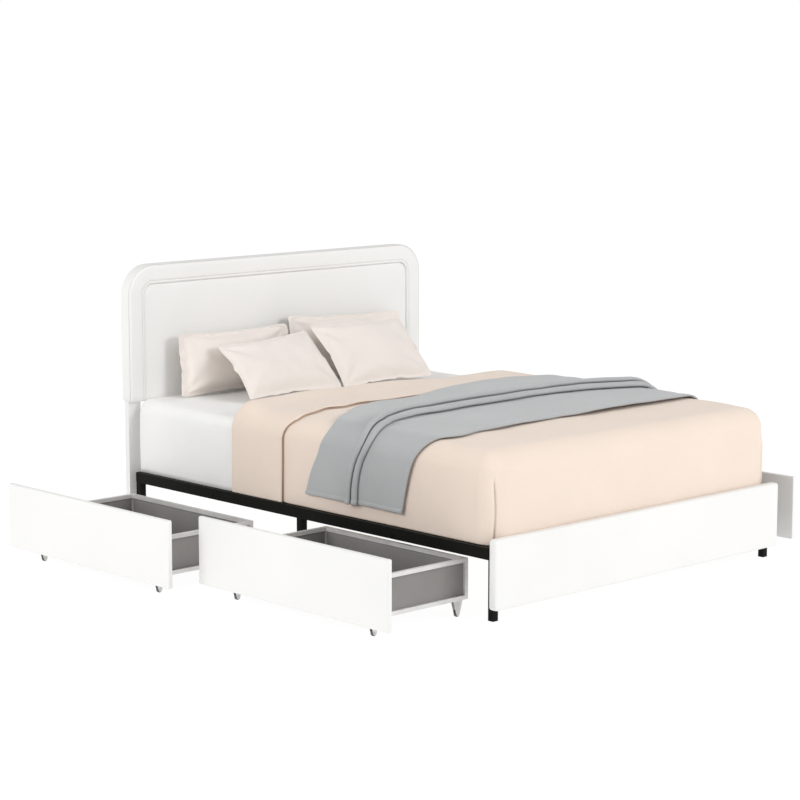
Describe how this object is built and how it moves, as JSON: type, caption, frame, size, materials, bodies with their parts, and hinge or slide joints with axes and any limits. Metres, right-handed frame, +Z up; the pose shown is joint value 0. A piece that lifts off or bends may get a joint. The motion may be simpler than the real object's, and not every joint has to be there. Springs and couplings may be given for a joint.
{
  "type": "platform bed with storage drawers",
  "caption": "Upholstered platform bed with arched headboard, steel slat frame, dressed mattress and rolling under-bed storage drawers.",
  "frame": {"origin": "on the floor, at the foot of the middle support leg", "axes": "+X to the right across the bed seen from its foot, +Y from the foot to the headboard, +Z up"},
  "size_m": [2.378, 2.127, 1.12],
  "materials": {
    "faux_leather": "satin, fine grain",
    "plywood": "raw",
    "back_cloth": "non-woven dust cloth",
    "black_steel": "satin powder coat",
    "white_steel": "satin powder coat",
    "zinc_steel": "zinc plated",
    "mesh_fabric": "coated mesh",
    "wheel_rubber": "matte",
    "slat_wood": "bare",
    "cap_plastic": "matte",
    "bolt_steel": "black oxide",
    "mattress_cloth": "cotton sheet",
    "duvet_cloth": "brushed cotton",
    "throw_cloth": "fine knit",
    "pillow_cloth": "brushed cotton"
  },
  "bodies": {
    "bed": {"centre_legs": "black_steel", "centre_rail": "black_steel", "cross_bars": "black_steel", "duvet": "duvet_cloth", "foot_legs": "black_steel", "footboard_board": "plywood", "footboard_cover": "faux_leather", "frame_bolts": "bolt_steel", "headboard_back": "back_cloth", "headboard_board": "plywood", "headboard_border": "faux_leather", "headboard_panel": "faux_leather", "headboard_posts": "faux_leather", "mattress": "mattress_cloth", "pillow_back_left": "pillow_cloth", "pillow_back_right": "pillow_cloth", "pillow_front_left": "pillow_cloth", "pillow_front_right": "pillow_cloth", "side_legs": "black_steel", "side_rail_left": "black_steel", "side_rail_right": "black_steel", "slat_caps": "cap_plastic", "slats": "slat_wood", "throw": "throw_cloth"},
    "left_foot_drawer": {"left_foot_casters": "zinc_steel", "left_foot_frame": "white_steel", "left_foot_front_board": "plywood", "left_foot_front_cover": "faux_leather", "left_foot_liner": "mesh_fabric"},
    "left_head_drawer": {"left_head_casters": "zinc_steel", "left_head_frame": "white_steel", "left_head_front_board": "plywood", "left_head_front_cover": "faux_leather", "left_head_liner": "mesh_fabric"},
    "right_foot_drawer": {"right_foot_casters": "zinc_steel", "right_foot_frame": "white_steel", "right_foot_front_board": "plywood", "right_foot_front_cover": "faux_leather", "right_foot_liner": "mesh_fabric"},
    "right_head_drawer": {"right_head_casters": "zinc_steel", "right_head_frame": "white_steel", "right_head_front_board": "plywood", "right_head_front_cover": "faux_leather", "right_head_liner": "mesh_fabric"},
    "left_foot_wheel_front_foot": {"left_foot_wheel_front_foot": "wheel_rubber"},
    "left_foot_wheel_front_head": {"left_foot_wheel_front_head": "wheel_rubber"},
    "left_foot_wheel_rear_foot": {"left_foot_wheel_rear_foot": "wheel_rubber"},
    "left_foot_wheel_rear_head": {"left_foot_wheel_rear_head": "wheel_rubber"},
    "left_head_wheel_front_foot": {"left_head_wheel_front_foot": "wheel_rubber"},
    "left_head_wheel_front_head": {"left_head_wheel_front_head": "wheel_rubber"},
    "left_head_wheel_rear_foot": {"left_head_wheel_rear_foot": "wheel_rubber"},
    "left_head_wheel_rear_head": {"left_head_wheel_rear_head": "wheel_rubber"},
    "right_foot_wheel_front_foot": {"right_foot_wheel_front_foot": "wheel_rubber"},
    "right_foot_wheel_front_head": {"right_foot_wheel_front_head": "wheel_rubber"},
    "right_foot_wheel_rear_foot": {"right_foot_wheel_rear_foot": "wheel_rubber"},
    "right_foot_wheel_rear_head": {"right_foot_wheel_rear_head": "wheel_rubber"},
    "right_head_wheel_front_foot": {"right_head_wheel_front_foot": "wheel_rubber"},
    "right_head_wheel_front_head": {"right_head_wheel_front_head": "wheel_rubber"},
    "right_head_wheel_rear_foot": {"right_head_wheel_rear_foot": "wheel_rubber"},
    "right_head_wheel_rear_head": {"right_head_wheel_rear_head": "wheel_rubber"}
  },
  "joints": [
    {"name": "left_foot_drawer_slide", "type": "slide", "parent": "bed", "child": "left_foot_drawer", "axis": [-1, 0, 0], "range_m": [-0.461, 0.239]},
    {"name": "left_foot_wheel_front_foot_spin", "type": "hinge", "parent": "left_foot_drawer", "child": "left_foot_wheel_front_foot", "pos_m": [-1.218, -0.868, 0.011], "axis": [0, 1, 0], "continuous": true},
    {"name": "left_foot_wheel_front_head_spin", "type": "hinge", "parent": "left_foot_drawer", "child": "left_foot_wheel_front_head", "pos_m": [-1.218, -0.132, 0.011], "axis": [0, 1, 0], "continuous": true},
    {"name": "left_foot_wheel_rear_foot_spin", "type": "hinge", "parent": "left_foot_drawer", "child": "left_foot_wheel_rear_foot", "pos_m": [-0.816, -0.868, 0.011], "axis": [0, 1, 0], "continuous": true},
    {"name": "left_foot_wheel_rear_head_spin", "type": "hinge", "parent": "left_foot_drawer", "child": "left_foot_wheel_rear_head", "pos_m": [-0.816, -0.132, 0.011], "axis": [0, 1, 0], "continuous": true},
    {"name": "left_head_drawer_slide", "type": "slide", "parent": "bed", "child": "left_head_drawer", "axis": [-1, 0, 0], "range_m": [-0.598, 0.102]},
    {"name": "left_head_wheel_front_foot_spin", "type": "hinge", "parent": "left_head_drawer", "child": "left_head_wheel_front_foot", "pos_m": [-1.355, 0.157, 0.011], "axis": [0, 1, 0], "continuous": true},
    {"name": "left_head_wheel_front_head_spin", "type": "hinge", "parent": "left_head_drawer", "child": "left_head_wheel_front_head", "pos_m": [-1.355, 0.893, 0.011], "axis": [0, 1, 0], "continuous": true},
    {"name": "left_head_wheel_rear_foot_spin", "type": "hinge", "parent": "left_head_drawer", "child": "left_head_wheel_rear_foot", "pos_m": [-0.953, 0.157, 0.011], "axis": [0, 1, 0], "continuous": true},
    {"name": "left_head_wheel_rear_head_spin", "type": "hinge", "parent": "left_head_drawer", "child": "left_head_wheel_rear_head", "pos_m": [-0.953, 0.893, 0.011], "axis": [0, 1, 0], "continuous": true},
    {"name": "right_foot_drawer_slide", "type": "slide", "parent": "bed", "child": "right_foot_drawer", "axis": [1, 0, 0], "range_m": [-0.136, 0.564]},
    {"name": "right_foot_wheel_front_foot_spin", "type": "hinge", "parent": "right_foot_drawer", "child": "right_foot_wheel_front_foot", "pos_m": [0.893, -0.868, 0.011], "axis": [0, 1, 0], "continuous": true},
    {"name": "right_foot_wheel_front_head_spin", "type": "hinge", "parent": "right_foot_drawer", "child": "right_foot_wheel_front_head", "pos_m": [0.893, -0.132, 0.011], "axis": [0, 1, 0], "continuous": true},
    {"name": "right_foot_wheel_rear_foot_spin", "type": "hinge", "parent": "right_foot_drawer", "child": "right_foot_wheel_rear_foot", "pos_m": [0.491, -0.868, 0.011], "axis": [0, 1, 0], "continuous": true},
    {"name": "right_foot_wheel_rear_head_spin", "type": "hinge", "parent": "right_foot_drawer", "child": "right_foot_wheel_rear_head", "pos_m": [0.491, -0.132, 0.011], "axis": [0, 1, 0], "continuous": true},
    {"name": "right_head_drawer_slide", "type": "slide", "parent": "bed", "child": "right_head_drawer", "axis": [1, 0, 0], "range_m": [0, 0.7]},
    {"name": "right_head_wheel_front_foot_spin", "type": "hinge", "parent": "right_head_drawer", "child": "right_head_wheel_front_foot", "pos_m": [0.757, 0.157, 0.011], "axis": [0, 1, 0], "continuous": true},
    {"name": "right_head_wheel_front_head_spin", "type": "hinge", "parent": "right_head_drawer", "child": "right_head_wheel_front_head", "pos_m": [0.757, 0.893, 0.011], "axis": [0, 1, 0], "continuous": true},
    {"name": "right_head_wheel_rear_foot_spin", "type": "hinge", "parent": "right_head_drawer", "child": "right_head_wheel_rear_foot", "pos_m": [0.355, 0.157, 0.011], "axis": [0, 1, 0], "continuous": true},
    {"name": "right_head_wheel_rear_head_spin", "type": "hinge", "parent": "right_head_drawer", "child": "right_head_wheel_rear_head", "pos_m": [0.355, 0.893, 0.011], "axis": [0, 1, 0], "continuous": true}
  ],
  "couplings": [
    {"joint": "left_foot_wheel_front_foot_spin", "follows": "left_foot_drawer_slide", "rad_per_m": -90.909},
    {"joint": "left_foot_wheel_front_head_spin", "follows": "left_foot_drawer_slide", "rad_per_m": -90.909},
    {"joint": "left_foot_wheel_rear_foot_spin", "follows": "left_foot_drawer_slide", "rad_per_m": -90.909},
    {"joint": "left_foot_wheel_rear_head_spin", "follows": "left_foot_drawer_slide", "rad_per_m": -90.909},
    {"joint": "left_head_wheel_front_foot_spin", "follows": "left_head_drawer_slide", "rad_per_m": -90.909},
    {"joint": "left_head_wheel_front_head_spin", "follows": "left_head_drawer_slide", "rad_per_m": -90.909},
    {"joint": "left_head_wheel_rear_foot_spin", "follows": "left_head_drawer_slide", "rad_per_m": -90.909},
    {"joint": "left_head_wheel_rear_head_spin", "follows": "left_head_drawer_slide", "rad_per_m": -90.909},
    {"joint": "right_foot_wheel_front_foot_spin", "follows": "right_foot_drawer_slide", "rad_per_m": 90.909},
    {"joint": "right_foot_wheel_front_head_spin", "follows": "right_foot_drawer_slide", "rad_per_m": 90.909},
    {"joint": "right_foot_wheel_rear_foot_spin", "follows": "right_foot_drawer_slide", "rad_per_m": 90.909},
    {"joint": "right_foot_wheel_rear_head_spin", "follows": "right_foot_drawer_slide", "rad_per_m": 90.909},
    {"joint": "right_head_wheel_front_foot_spin", "follows": "right_head_drawer_slide", "rad_per_m": 90.909},
    {"joint": "right_head_wheel_front_head_spin", "follows": "right_head_drawer_slide", "rad_per_m": 90.909},
    {"joint": "right_head_wheel_rear_foot_spin", "follows": "right_head_drawer_slide", "rad_per_m": 90.909},
    {"joint": "right_head_wheel_rear_head_spin", "follows": "right_head_drawer_slide", "rad_per_m": 90.909}
  ]
}
